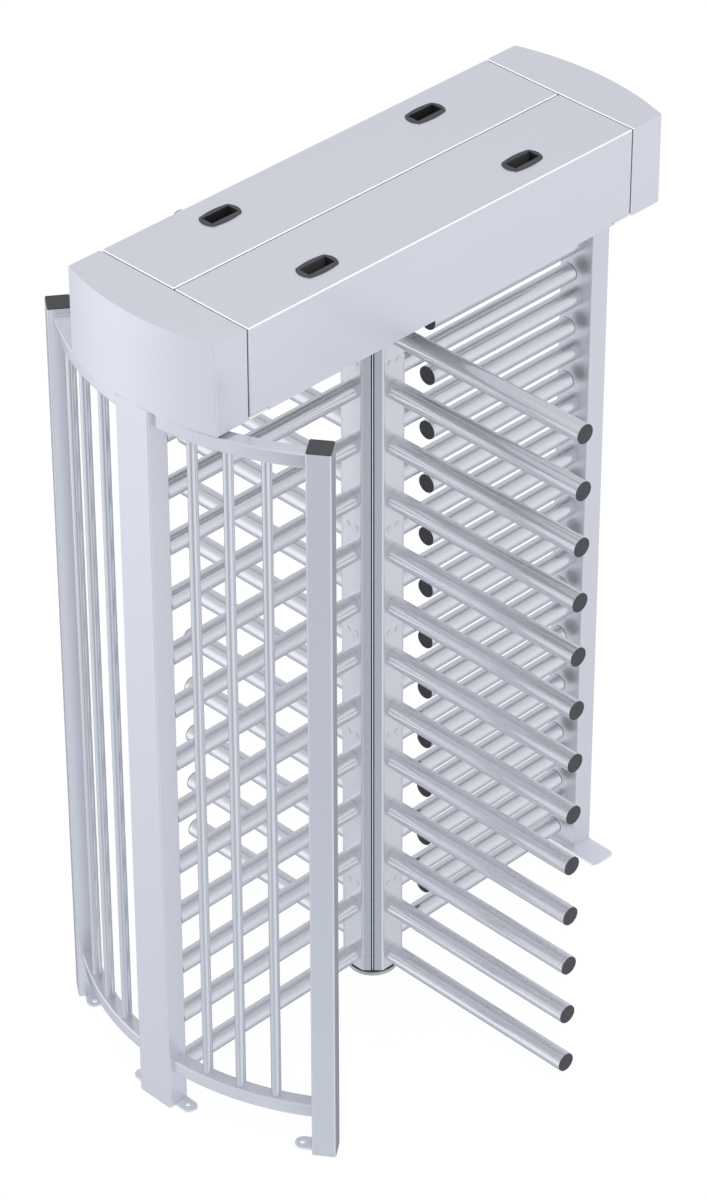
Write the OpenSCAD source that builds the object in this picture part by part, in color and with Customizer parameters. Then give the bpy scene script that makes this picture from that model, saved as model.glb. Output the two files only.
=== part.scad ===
// Full-height turnstile: a four-wing rotor between a curved cage and a fixed comb,
// under a long canopy that houses the drive. Origin on the floor at the rotor's axis.
// +Z is up, -Y faces the approach side, -X is the cage side, +X is the comb side.

/* [Overall] */
// Height of the canopy's top above the floor
total_h = 2300; // [2260:10:2500]
// Clear height under the canopy
passage_h = 2062; // [2052:2:2160]
// Outer radius of the cage's posts and of the canopy's rounded ends
end_r = 766; // [762:1:800]
// Thickness of the sheet metal
sheet_t = 3; // [2:0.5:4]

/* [Canopy] */
// Width of the canopy from front to rear
canopy_w = 480; // [440:2:560]
// Distance from the axis to the joints between the covers and the end caps
seam_x = 628; // [600:1:640]
// Width of the joints in the canopy's skin
seam_gap = 2.5; // [1:0.5:3]
// Distance from the axis to the middle of a lifting handle, along the canopy
handle_x = 334; // [250:1:400]
// Distance from the canopy's middle to the middle of a lifting handle
handle_y = 158; // [130:1:165]

/* [Rotor] */
// Number of arms on each wing
arm_count = 13; // [8:1:13]
// Vertical distance between neighbouring arms
arm_pitch = 156; // [140:1:156]
// Height of the lowest arm's centre
arm_z0 = 66; // [60:1:68]
// Distance from the axis to an arm's tip
arm_r = 683; // [620:1:690]
// The same distance for the wing at the rear
arm_r_rear = 668; // [620:1:690]
// Outer diameter of the arms and of the comb's tubes
arm_d = 50; // [38:1:52]
// Thickness of the black end discs
disc_t = 2.5; // [2:0.5:6]
// Distance from the axis to the rotor column's four flat faces
rotor_flat = 72; // [70:0.5:76]
// Distance from the axis to the rotor column's four slotted corner faces
rotor_chamfer = 75.5; // [74:0.5:78]

/* [Cage] */
// Width of the wide posts in the middle of the cage and at the comb
main_post_w = 108; // [90:1:130]
// Depth of all posts, measured towards the axis
post_d = 60; // [50:1:60]
// Angle from the middle of the cage to its end posts
cage_angle = 36; // [30:0.5:42]
// Width and height of the cage's curved bands
band_s = 38; // [30:1:44]
// Height of the lower edge of the bottom bands
band_z = 110; // [80:1:140]
// Diameter of the cage's upright bars
bar_d = 25; // [20:1:30]

/* [Comb] */
// Distance from the axis to the tips of the comb's tubes
comb_tip_x = 184; // [160:1:240]
// Length of the comb's foot plate from front to rear
foot_len = 306; // [240:2:340]

/* [Hidden] */
$fn = 48;

canopy_h = total_h - passage_h;
half_w = canopy_w / 2;
arm_zs = [for (i = [0 : arm_count - 1]) arm_z0 + i * arm_pitch];
comb_zs = [for (i = [0 : arm_count - 1]) arm_z0 + (i + 0.5) * arm_pitch];
post_mid_r = end_r - post_d / 2;
post_in_r = end_r - post_d;
post_r = 5;
cap_flange = 3;

// The bands sit a little behind the posts' outer faces and stop short of the wide post
band_out = end_r - 13;
band_in = band_out - band_s;
band_mid = (band_out + band_in) / 2;
band_slot = 4;
peg_w = 20;
peg_l = 24;
peg_h = 28;
band_top_z = passage_h - 10 - band_s;
bar_from = asin((main_post_w / 2) / band_mid);
bar_to = cage_angle - asin((post_d / 2) / band_mid);

tab_t = 6;
tab_hole_r = 6.5;
tab_reach = 51;
foot_t = 5.5;
foot_w = 90;

lip_len = 58;
lip_h = 7;
bend_r = 4;
handle_l = 108;
handle_w = 61;
cup_l = 96;
cup_w = 47;
cup_wall = 7;
cup_depth = 44;
flange_r = 8;
side_r = 150;

// The rotor's column: corner arcs join the flat faces to the slotted corner faces
rotor_z0 = 26;
rotor_z1 = passage_h - 8;
end_plate_t = 4;
corner_r = 9;
corner_cx = rotor_flat - corner_r;
corner_cy = (rotor_chamfer - corner_r) * sqrt(2) - corner_cx;
corner_d = corner_r * sqrt(0.5);
slot_w = 8.5;
slot_depth = 12;
fin_t = 2.4;
fin_recess = 1.5;
core_half = corner_cy - 0.05;
box_half = corner_cy - 0.3;
shaft_d = 40;
pin_d = 30;
running_gap = 0.1;
base_disc_h = 10;
screw_d = 17;
screw_h = 2;
screw_y = 14.5;
screw_zs = [for (k = [11.5, 8.5, 6.5, 4.5, 1.5]) arm_z0 + k * arm_pitch];

module rounded_rect(size_x, size_y, r) {
    square([size_x - 2 * r, size_y], center = true);
    square([size_x, size_y - 2 * r], center = true);
    for (sx = [-1, 1], sy = [-1, 1])
        translate([sx * (size_x / 2 - r), sy * (size_y / 2 - r)])
            circle(r = r);
}

// An upright rectangular tube with rounded corners, centred on the Z axis
module upright(size_x, size_y, z0, z1) {
    translate([0, 0, z0])
        linear_extrude(z1 - z0)
            difference() {
                rounded_rect(size_x, size_y, post_r);
                rounded_rect(size_x - 2 * sheet_t, size_y - 2 * sheet_t, post_r - sheet_t + 0.5);
            }
}

// Turns a piece drawn along +X to the end post on one side; +1 is the front
module at_end_post(side) {
    rotate([0, 0, 180 + side * cage_angle])
        children();
}

module main_post() {
    color("gainsboro")
        translate([-post_mid_r, 0, 0])
            upright(post_d, main_post_w, 0, passage_h);
}

// A foot tab with a rounded end and one anchor hole, reaching along +Y from the origin
module foot_tab(width, reach, hole_y) {
    linear_extrude(tab_t)
        difference() {
            union() {
                translate([-width / 2, 0])
                    square([width, reach - width / 2]);
                translate([0, reach - width / 2])
                    circle(d = width);
            }
            translate([0, hole_y])
                circle(r = tab_hole_r);
        }
}

module main_post_tabs() {
    color("silver")
        for (s = [-1, 1])
            translate([37 - end_r, s * main_post_w / 2, 0])
                rotate([0, 0, 90 - s * 90])
                    foot_tab(40, tab_reach, 26);
}

module end_post(side) {
    color("gainsboro")
        at_end_post(side)
            translate([post_mid_r, 0, 0])
                upright(post_d, post_d, 0, passage_h);
}

module end_post_tab(side) {
    color("silver")
        at_end_post(side)
            translate([end_r - 38, -side * post_d / 2, 0])
                rotate([0, 0, 90 + side * 90])
                    foot_tab(42, 48, 30);
}

module post_cap(side) {
    color("dimgray")
        at_end_post(side)
            translate([post_mid_r, 0, 0]) {
                translate([0, 0, passage_h])
                    linear_extrude(cap_flange)
                        rounded_rect(post_d - 1, post_d - 1, post_r);
                translate([0, 0, passage_h - 20])
                    linear_extrude(20)
                        square(post_d - 2 * sheet_t - 2, center = true);
            }
}

// A curved piece of the cage from its middle to the axis of one end post
module cage_sector(side, r_in, r_out, z0, h) {
    rotate([0, 0, side > 0 ? 180 : 180 - cage_angle])
        rotate_extrude(angle = cage_angle, $fn = 240)
            translate([r_in, z0])
                square([r_out - r_in, h]);
}

module band(side, z) {
    color("gainsboro")
        difference() {
            cage_sector(side, band_in, band_out, z, band_s);
            cage_sector(side, band_in + sheet_t, band_out - sheet_t, z + sheet_t,
                band_s - 2 * sheet_t);
            translate([-end_r, -main_post_w / 2 - band_slot, z - 1])
                cube([2 * post_d, main_post_w + 2 * band_slot, band_s + 2]);
            at_end_post(side)
                translate([band_in - 10, -post_d / 2, z - 1])
                    cube([2 * post_d, post_d, band_s + 2]);
        }
}

// Connectors between the wide post and the hollow ends of the bands
module band_spigots() {
    color("silver")
        for (s = [-1, 1], z = [band_z, band_top_z])
            translate([-band_mid - peg_w / 2, s > 0 ? main_post_w / 2 : -main_post_w / 2 - peg_l,
                z + band_s / 2 - peg_h / 2])
                cube([peg_w, peg_l, peg_h]);
}

module cage_bars(side) {
    color("silver")
        for (i = [1 : 3])
            rotate([0, 0, 180 + side * (bar_from + (bar_to - bar_from) * i / 4)])
                translate([band_mid, 0, band_z + band_s])
                    cylinder(d = bar_d, h = band_top_z - band_z - band_s);
}

module comb_post() {
    color("gainsboro")
        translate([post_mid_r, 0, 0])
            upright(post_d, main_post_w, foot_t, passage_h);
}

module comb_foot() {
    color("silver")
        translate([end_r + 5 - foot_w / 2, 0, 0])
            linear_extrude(foot_t)
                rounded_rect(foot_w, foot_len, 15);
}

module comb_tubes() {
    color("silver")
        for (z = comb_zs)
            translate([comb_tip_x + disc_t, 0, z])
                rotate([0, 90, 0])
                    cylinder(d = arm_d, h = post_in_r - comb_tip_x - disc_t);
}

module comb_caps() {
    color("dimgray")
        for (z = comb_zs)
            translate([comb_tip_x, 0, z])
                rotate([0, 90, 0])
                    cylinder(d = arm_d - 2, h = disc_t);
}

// The canopy's outline, drawn in by a margin
module canopy_outline(margin) {
    intersection() {
        circle(r = end_r - margin, $fn = 180);
        square([2 * end_r, canopy_w - 2 * margin], center = true);
    }
}

module canopy_pan() {
    color("gainsboro")
        translate([0, 0, passage_h])
            linear_extrude(sheet_t)
                difference() {
                    canopy_outline(sheet_t + 0.5);
                    circle(d = 100, $fn = 96);
                }
}

// Half of the canopy's skin: a top sheet bent down into one long side, with both
// lower corners cut back over the lips of the end caps
module cover(side) {
    len = 2 * (seam_x - seam_gap / 2);
    color("gainsboro")
        mirror([0, side > 0 ? 0 : 1, 0])
            difference() {
                union() {
                    translate([-len / 2, seam_gap / 2, total_h - sheet_t])
                        cube([len, half_w - bend_r - seam_gap / 2, sheet_t]);
                    translate([-len / 2, half_w - sheet_t, passage_h])
                        cube([len, sheet_t, canopy_h - bend_r]);
                    translate([-len / 2, half_w - bend_r, total_h - bend_r])
                        rotate([90, 0, 90])
                            linear_extrude(len)
                                intersection() {
                                    difference() {
                                        circle(r = bend_r);
                                        circle(r = bend_r - sheet_t);
                                    }
                                    square(bend_r);
                                }
                }
                for (s = [-1, 1]) {
                    translate([s * (seam_x - lip_len / 2 + 5) - lip_len / 2 - 5,
                        half_w - sheet_t - 1, passage_h - 1])
                        cube([lip_len + 10, sheet_t + 2, lip_h + seam_gap + 1]);
                    translate([s * handle_x, handle_y, total_h - sheet_t - 1])
                        linear_extrude(sheet_t + 2)
                            rounded_rect(cup_l + 1, cup_w + 1, 8);
                }
            }
}

// A rounded end of the canopy, open below, with lips that carry the covers' ends
module end_cap(side) {
    x_in = seam_x + seam_gap / 2;
    color("gainsboro")
        mirror([side > 0 ? 0 : 1, 0, 0]) {
            intersection() {
                translate([0, 0, passage_h])
                    difference() {
                        linear_extrude(canopy_h)
                            canopy_outline(0);
                        translate([0, 0, -1])
                            linear_extrude(canopy_h - sheet_t + 1)
                                canopy_outline(sheet_t);
                    }
                translate([x_in, -half_w - 1, passage_h - 1])
                    cube([end_r - seam_x, canopy_w + 2, canopy_h + 2]);
            }
            for (s = [-1, 1])
                translate([seam_x - lip_len, s > 0 ? half_w - sheet_t : -half_w, passage_h])
                    cube([x_in - seam_x + lip_len, sheet_t, lip_h]);
        }
}

// The flange of a lifting handle: an oblong with slightly bulging sides
module handle_outline() {
    offset(r = flange_r)
        intersection() {
            translate([0, side_r - handle_w / 2 + flange_r])
                circle(r = side_r, $fn = 180);
            translate([0, handle_w / 2 - flange_r - side_r])
                circle(r = side_r, $fn = 180);
            square([handle_l - 2 * flange_r, handle_w], center = true);
        }
}

module handles(side) {
    color("dimgray")
        for (s = [-1, 1])
            translate([s * handle_x, side * handle_y, total_h])
                difference() {
                    union() {
                        linear_extrude(3)
                            handle_outline();
                        translate([0, 0, -cup_depth])
                            linear_extrude(cup_depth)
                                rounded_rect(cup_l, cup_w, 8);
                    }
                    translate([0, 0, 4 - cup_depth])
                        linear_extrude(cup_depth)
                            rounded_rect(cup_l - 2 * cup_wall, cup_w - 2 * cup_wall, 5);
                }
}

module top_bearing() {
    color("silver")
        translate([0, 0, passage_h + sheet_t])
            difference() {
                cylinder(d = 160, h = 60, $fn = 96);
                translate([0, 0, -1])
                    cylinder(d = shaft_d + running_gap, h = 62, $fn = 96);
            }
}

module floor_bearing() {
    color("silver") {
        cylinder(d = 132, h = base_disc_h, $fn = 96);
        cylinder(d = pin_d, h = rotor_z0 + 15, $fn = 96);
    }
}

// The outline of one corner of the rotor's column, in the +X +Y quarter
module corner_outline() {
    intersection() {
        union() {
            polygon([[corner_cy, corner_cy], [rotor_flat, corner_cy],
                [corner_cx + corner_d, corner_cy + corner_d],
                [corner_cy + corner_d, corner_cx + corner_d], [corner_cy, rotor_flat]]);
            translate([corner_cx, corner_cy])
                circle(r = corner_r);
            translate([corner_cy, corner_cx])
                circle(r = corner_r);
        }
        translate([corner_cy, corner_cy])
            square(rotor_flat - corner_cy + 1);
    }
}

module column_outline() {
    square([2 * rotor_flat, 2 * corner_cy], center = true);
    square([2 * corner_cy, 2 * rotor_flat], center = true);
    for (a = [0 : 90 : 270])
        rotate(a)
            corner_outline();
}

module rotor_base() {
    color("silver")
        difference() {
            union() {
                translate([0, 0, rotor_z0])
                    linear_extrude(end_plate_t)
                        column_outline();
                translate([0, 0, rotor_z0 - 8])
                    cylinder(d = 60, h = 8, $fn = 96);
                translate([0, 0, rotor_z0 + end_plate_t])
                    cylinder(d = 50, h = 20, $fn = 96);
            }
            translate([0, 0, rotor_z0 - 9])
                cylinder(d = pin_d + running_gap, h = 29, $fn = 96);
        }
}

module rotor_core() {
    color("silver")
        translate([0, 0, rotor_z0 + end_plate_t])
            linear_extrude(rotor_z1 - rotor_z0 - 2 * end_plate_t)
                difference() {
                    square(2 * core_half, center = true);
                    circle(d = 54);
                }
}

module rotor_boxes() {
    depth = rotor_flat - core_half;
    color("silver")
        for (a = [0 : 90 : 270])
            rotate([0, 0, a])
                translate([core_half + depth / 2, 0, rotor_z0 + end_plate_t])
                    linear_extrude(rotor_z1 - rotor_z0 - 2 * end_plate_t)
                        difference() {
                            square([depth, 2 * box_half], center = true);
                            square([depth - 2 * sheet_t, 2 * (box_half - sheet_t)],
                                center = true);
                        }
}

module rotor_profiles() {
    color("silver")
        for (a = [0 : 90 : 270])
            rotate([0, 0, a])
                translate([0, 0, rotor_z0 + end_plate_t])
                    linear_extrude(rotor_z1 - rotor_z0 - 2 * end_plate_t)
                        difference() {
                            corner_outline();
                            rotate(45)
                                translate([rotor_chamfer - slot_depth, -slot_w / 2])
                                    square([2 * slot_depth, slot_w]);
                        }
}

module rotor_fins() {
    color("silver")
        for (a = [45 : 90 : 315])
            rotate([0, 0, a])
                translate([rotor_chamfer - slot_depth, -fin_t / 2, rotor_z0 + end_plate_t])
                    cube([slot_depth - fin_recess, fin_t,
                        rotor_z1 - rotor_z0 - 2 * end_plate_t]);
}

module rotor_top() {
    color("silver") {
        translate([0, 0, rotor_z1 - end_plate_t])
            linear_extrude(end_plate_t)
                column_outline();
        translate([0, 0, rotor_z1])
            cylinder(d = shaft_d, h = 96, $fn = 96);
    }
}

module rotor_screws() {
    color("silver")
        for (a = [0 : 90 : 270], z = screw_zs, s = [-1, 1])
            rotate([0, 0, a])
                translate([rotor_flat, s * screw_y, z])
                    rotate([0, 90, 0])
                        cylinder(d1 = screw_d, d2 = screw_d - 2, h = screw_h);
}

// One wing's arms, turned to point along the given angle
module arms(a, reach = arm_r) {
    color("silver")
        for (z = arm_zs)
            rotate([0, 0, a])
                translate([rotor_flat, 0, z])
                    rotate([0, 90, 0])
                        cylinder(d = arm_d, h = reach - disc_t - rotor_flat);
}

module arm_caps(a, reach = arm_r) {
    color("dimgray")
        for (z = arm_zs)
            rotate([0, 0, a])
                translate([reach - disc_t, 0, z])
                    rotate([0, 90, 0])
                        cylinder(d = arm_d - 2, h = disc_t);
}

main_post();
main_post_tabs();
end_post(1);  // end_post_front
end_post(-1);  // end_post_rear
end_post_tab(1);  // end_post_tab_front
end_post_tab(-1);  // end_post_tab_rear
post_cap(1);  // post_cap_front
post_cap(-1);  // post_cap_rear
band(1, band_top_z);  // top_band_front
band(-1, band_top_z);  // top_band_rear
band(1, band_z);  // bottom_band_front
band(-1, band_z);  // bottom_band_rear
band_spigots();
cage_bars(1);  // cage_bars_front
cage_bars(-1);  // cage_bars_rear
comb_post();
comb_foot();
comb_tubes();
comb_caps();
canopy_pan();
cover(-1);  // cover_front
cover(1);  // cover_rear
end_cap(-1);  // end_cap_cage
end_cap(1);  // end_cap_comb
handles(-1);  // handles_front
handles(1);  // handles_rear
top_bearing();
floor_bearing();
rotor_base();
rotor_core();
rotor_boxes();
rotor_profiles();
rotor_fins();
rotor_top();
rotor_screws();
arms(-90);  // arms_front
arms(90, arm_r_rear);  // arms_rear
arms(180);  // arms_cage
arms(0);  // arms_comb
arm_caps(-90);  // arm_caps_front
arm_caps(90, arm_r_rear);  // arm_caps_rear
arm_caps(180);  // arm_caps_cage
arm_caps(0);  // arm_caps_comb
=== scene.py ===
"""Dresses the full-height turnstile: posts, bands, canopy, rotor column, arms, comb and the studio."""

import math

import bmesh
import bpy
from bpy.props import FloatProperty, FloatVectorProperty, IntProperty, PointerProperty
from mathutils import Matrix, Vector


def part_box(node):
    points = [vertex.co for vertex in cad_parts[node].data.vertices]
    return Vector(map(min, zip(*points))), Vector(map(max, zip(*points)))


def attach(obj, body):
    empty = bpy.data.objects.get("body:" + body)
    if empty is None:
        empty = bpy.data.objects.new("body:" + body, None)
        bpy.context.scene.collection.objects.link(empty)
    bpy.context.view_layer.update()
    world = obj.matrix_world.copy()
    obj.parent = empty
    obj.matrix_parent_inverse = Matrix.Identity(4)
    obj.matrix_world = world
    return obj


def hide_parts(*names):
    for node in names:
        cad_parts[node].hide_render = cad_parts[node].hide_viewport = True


bl_info = {
    "name": "Full-Height Turnstile",
    "version": (1, 0, 0),
    "blender": (4, 5, 0),
    "location": "View3D > Sidebar > Turnstile",
    "description": "Builds the visible pieces of a full-height turnstile around its construction solids",
    "category": "Object",
}

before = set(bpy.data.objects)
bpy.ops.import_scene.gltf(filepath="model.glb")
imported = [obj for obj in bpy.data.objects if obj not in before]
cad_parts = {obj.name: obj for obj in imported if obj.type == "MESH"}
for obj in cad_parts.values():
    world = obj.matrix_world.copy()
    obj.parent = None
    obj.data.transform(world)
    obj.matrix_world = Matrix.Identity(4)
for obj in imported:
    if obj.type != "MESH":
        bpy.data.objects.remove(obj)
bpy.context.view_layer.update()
HOUSING, ROTOR = "housing", "rotor"

ARM_COUNT = 13
CAGE_ANGLE = 36
SHEET = 0.003
# Width of the strips of a cover or an end cap that are folded behind a joint
FOLD = 0.014
SHARP = math.radians(50)
# How far the grain's pattern is squeezed along X, Y and Z
UPRIGHT = (900, 900, 12)
ALONG_X = (12, 900, 900)
EVEN = (300, 300, 300)
RINGS_X, RINGS_Y, RINGS_Z = (900, 60, 60), (60, 900, 60), (60, 60, 900)

# What the steel mirrors: light by the height of the direction, then fields of light as
# (direction, inner half angle, outer half angle, light added or, where negative, taken away)
STUDIO_RAMP = (
    (-1.0, (0.573, 0.603, 0.660)), (-0.66, (0.573, 0.603, 0.660)), (-0.61, (0.647, 0.670, 0.727)),
    (-0.545, (0.751, 0.764, 0.818)), (-0.48, (0.780, 0.794, 0.850)), (0.0, (0.741, 0.754, 0.807)),
    (0.3, (0.683, 0.694, 0.743)), (0.5, (0.634, 0.645, 0.690)), (0.8, (0.605, 0.615, 0.658)),
    (1.0, (0.780, 0.794, 0.850)))
STUDIO_CARDS = (
    ((-0.58, 0.79, -0.08), 12, 40, (0.47, 0.49, 0.50)),
    ((-1.0, -1.0, -0.75), 5, 22, (-0.13, -0.12, -0.12)),
    ((-0.96, -0.26, -0.62), 5, 20, (-0.22, -0.21, -0.21)),
    ((-0.62, -0.18, -0.766), 8, 20, (0.28, 0.29, 0.30)),
    ((-0.73, -0.37, -0.575), 4, 16, (-0.29, -0.28, -0.28)),
    ((0.557, 0.557, -0.616), 24, 36, (-0.42, -0.41, -0.40)),
    ((0.604, -0.220, -0.766), 5, 18, (-0.16, -0.16, -0.16)),
    ((0.621, 0.166, 0.766), 5, 18, (-0.13, -0.13, -0.13)),
    ((0.58, -0.50, 0.64), 5, 16, (0.12, 0.12, 0.12)),
    ((-0.09, -0.49, -0.87), 20, 48, (0.21, 0.23, 0.24)),
    ((0.60, -0.75, 0.05), 14, 36, (0.16, 0.16, 0.15)),
    ((-0.455, 0.542, 0.707), 8, 26, (0.08, 0.09, 0.08)),
    ((-0.652, 0.304, -0.695), 6, 16, (0.07, 0.08, 0.08)),
)


# ---------------------------------------------------------------- settings


class SteelSettings(bpy.types.PropertyGroup):
    sheet: FloatVectorProperty(
        name="Sheet steel", description="Colour of the satin sheet steel",
        subtype="COLOR", size=3, min=0, max=1, default=(0.754, 0.762, 0.814))
    tube: FloatVectorProperty(
        name="Tube steel", description="Colour of the ground tubes",
        subtype="COLOR", size=3, min=0, max=1, default=(0.745, 0.753, 0.785))
    column: FloatVectorProperty(
        name="Column steel", description="Colour of the rotor column's profiles",
        subtype="COLOR", size=3, min=0, max=1, default=(0.785, 0.795, 0.816))
    foot: FloatVectorProperty(
        name="Plain steel", description="Colour of the steel inside the canopy and of the floor disc",
        subtype="COLOR", size=3, min=0, max=1, default=(0.53, 0.553, 0.53))
    tab: FloatVectorProperty(
        name="Tab steel", description="Colour of the anchor tabs at the floor",
        subtype="COLOR", size=3, min=0, max=1, default=(0.90, 0.92, 0.97))
    plastic: FloatVectorProperty(
        name="Plastic", description="Colour of the black caps and handles",
        subtype="COLOR", size=3, min=0, max=1, default=(0.046, 0.047, 0.052))


class ShapeSettings(bpy.types.PropertyGroup):
    post_round: FloatProperty(
        name="Post rounding", description="Radius of the posts' long corners",
        subtype="DISTANCE", unit="LENGTH", min=0.001, max=0.01, default=0.0045)
    band_round: FloatProperty(
        name="Band rounding", description="Radius of the curved bands' long corners",
        subtype="DISTANCE", unit="LENGTH", min=0.001, max=0.008, default=0.004)
    bend: FloatProperty(
        name="Cover bend", description="Outer radius of the bend along the canopy's covers",
        subtype="DISTANCE", unit="LENGTH", min=0.0035, max=0.01, default=0.0036)
    fold: FloatProperty(
        name="Edge softening", description="Radius of the sheet's cut edges",
        subtype="DISTANCE", unit="LENGTH", min=0.0002, max=0.002, default=0.0008)
    rim: FloatProperty(
        name="Cap rim", description="Rounding of the black end discs",
        subtype="DISTANCE", unit="LENGTH", min=0.0002, max=0.002, default=0.0012)
    handle_x: FloatProperty(
        name="Handle along", description="Distance of a handle's middle from the axis, along the canopy",
        subtype="DISTANCE", unit="LENGTH", min=0.25, max=0.4, default=0.334)
    handle_y: FloatProperty(
        name="Handle across", description="Distance of a handle's middle from the canopy's middle",
        subtype="DISTANCE", unit="LENGTH", min=0.13, max=0.17, default=0.158)
    tube_sides: IntProperty(
        name="Tube sides", description="Number of faces round each tube",
        min=24, max=96, default=48)


def steel():
    return bpy.context.scene.turnstile_steel


def shape():
    return bpy.context.scene.turnstile_shape


# ---------------------------------------------------------------- hand tools


def clear():
    if bpy.context.object and bpy.context.object.mode != "OBJECT":
        bpy.ops.object.mode_set(mode="OBJECT")
    bpy.ops.object.select_all(action="DESELECT")


def pick(*objs):
    clear()
    for o in objs:
        o.select_set(True)
    bpy.context.view_layer.objects.active = objs[0]
    return objs[0]


def settle(obj):
    pick(obj)
    bpy.ops.object.transform_apply(location=True, rotation=True, scale=True)
    return obj


def block(name, lo, hi):
    clear()
    lo, hi = Vector(lo), Vector(hi)
    bpy.ops.mesh.primitive_cube_add(size=1, location=(lo + hi) / 2)
    obj = bpy.context.object
    obj.name = name
    obj.scale = hi - lo
    return settle(obj)


def rod(name, start, end, radius, sides):
    clear()
    start, end = Vector(start), Vector(end)
    along = end - start
    bpy.ops.mesh.primitive_cylinder_add(
        vertices=sides, radius=radius, depth=along.length, location=(start + end) / 2,
        rotation=along.to_track_quat("Z", "Y").to_euler())
    obj = bpy.context.object
    obj.name = name
    return settle(obj)


def choose(obj, edges=None, faces=None, verts=None):
    """Enters edit mode with the edges, faces or vertices selected that the test accepts."""
    pick(obj)
    bpy.ops.object.mode_set(mode="EDIT")
    kind = "EDGE" if edges else "FACE" if faces else "VERT"
    bpy.ops.mesh.select_mode(type=kind)
    bpy.ops.mesh.select_all(action="DESELECT")
    bm = bmesh.from_edit_mesh(obj.data)
    bm.normal_update()
    pool, test = (bm.edges, edges) if edges else (bm.faces, faces) if faces else (bm.verts, verts)
    for item in pool:
        if test(item):
            item.select_set(True)
    bm.select_flush_mode()
    bmesh.update_edit_mesh(obj.data)


def done():
    bpy.ops.object.mode_set(mode="OBJECT")


def runs_along(edge, axis):
    a, b = edge.verts[0].co, edge.verts[1].co
    d = (b - a).normalized()
    return abs(d[axis]) > 0.999


def bevel(obj, width, segments, edges):
    choose(obj, edges=edges)
    bpy.ops.mesh.bevel(offset=width, segments=segments, affect="EDGES", profile=0.5)
    done()
    return obj


def sharp(edge, limit=SHARP):
    return len(edge.link_faces) == 2 and edge.calc_face_angle(0) > limit


def above(edge, height):
    return min(v.co.z for v in edge.verts) > height


def sliced(obj, spot, normal, faces=None, **settings):
    """Cuts the whole mesh, or the faces that the test accepts, by a plane."""
    if faces:
        choose(obj, faces=faces)
    else:
        choose(obj, verts=lambda v: True)
    bpy.ops.mesh.bisect(plane_co=spot, plane_no=normal, **settings)
    done()


def opened(obj, faces):
    """Deletes the faces that the test accepts."""
    choose(obj, faces=faces)
    bpy.ops.mesh.delete(type="FACE")
    done()


def modifier(obj, kind, **settings):
    pick(obj)
    bpy.ops.object.modifier_add(type=kind)
    made = obj.modifiers[-1]
    for key, value in settings.items():
        setattr(made, key, value)
    bpy.ops.object.modifier_apply(modifier=made.name)
    return obj


def combined(obj, tool, operation="DIFFERENCE"):
    """Cuts the tool out of the object, or adds it, and removes the tool."""
    modifier(obj, "BOOLEAN", operation=operation, object=tool, solver="EXACT")
    bpy.data.objects.remove(tool)
    return obj


def thickened(obj):
    return modifier(obj, "SOLIDIFY", thickness=SHEET, offset=-1, use_even_offset=True)


def stacked(obj, low, high, radius):
    """Repeats a tube upward, so that the row fills the height from low to high."""
    moved(obj, (0, 0, low + radius))
    pitch = (high - low - 2 * radius) / (ARM_COUNT - 1)
    return modifier(obj, "ARRAY", count=ARM_COUNT, use_relative_offset=False, use_constant_offset=True,
                    constant_offset_displace=(0, 0, pitch))


def tidy_normals(obj):
    pick(obj)
    bpy.ops.object.mode_set(mode="EDIT")
    bpy.ops.mesh.select_all(action="SELECT")
    bpy.ops.mesh.remove_doubles(threshold=0.00002)
    bpy.ops.mesh.normals_make_consistent(inside=False)
    done()
    return obj


def joined(name, objs):
    pick(*objs)
    if len(objs) > 1:
        bpy.ops.object.join()
    obj = bpy.context.object
    obj.name = name
    return obj


def copied(obj, name=None):
    pick(obj)
    bpy.ops.object.duplicate(linked=False)
    twin = bpy.context.object
    if name:
        twin.name = name
    return twin


def turned(obj, degrees):
    obj.rotation_euler = (0, 0, math.radians(degrees))
    return settle(obj)


def moved(obj, offset):
    obj.location = Vector(offset)
    return settle(obj)


def coated(obj, finish, *others):
    """Gives the piece its main finish, and each (test, finish) pair's faces that pair's finish."""
    obj.data.materials.append(finish)
    for index, (test, other) in enumerate(others, start=1):
        obj.data.materials.append(other)
        for f in obj.data.polygons:
            if test(f):
                f.material_index = index
    return obj


def finish_piece(obj, body, material, slot, *nodes, angle=40):
    settle(obj)
    bpy.ops.object.shade_smooth_by_angle(angle=math.radians(angle))
    modifier(obj, "WEIGHTED_NORMAL", mode="FACE_AREA", weight=80, keep_sharp=True)
    if material:
        obj.data.materials.append(material)
    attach(obj, body)
    if nodes:
        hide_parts(*nodes)
    return obj


# ---------------------------------------------------------------- materials


def group_sockets(group, inputs, outputs):
    for name, kind, default in inputs:
        made = group.interface.new_socket(name=name, in_out="INPUT", socket_type=kind)
        if default is not None:
            made.default_value = default
    for name, kind in outputs:
        group.interface.new_socket(name=name, in_out="OUTPUT", socket_type=kind)


def maths(tree, operation, *values):
    """A math node's result; sockets among the values are linked and numbers are set."""
    node = tree.nodes.new("ShaderNodeMath")
    node.operation = operation
    for socket, value in zip(node.inputs, values):
        if isinstance(value, bpy.types.NodeSocket):
            tree.links.new(value, socket)
        else:
            socket.default_value = value
    return node.outputs[0]


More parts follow.
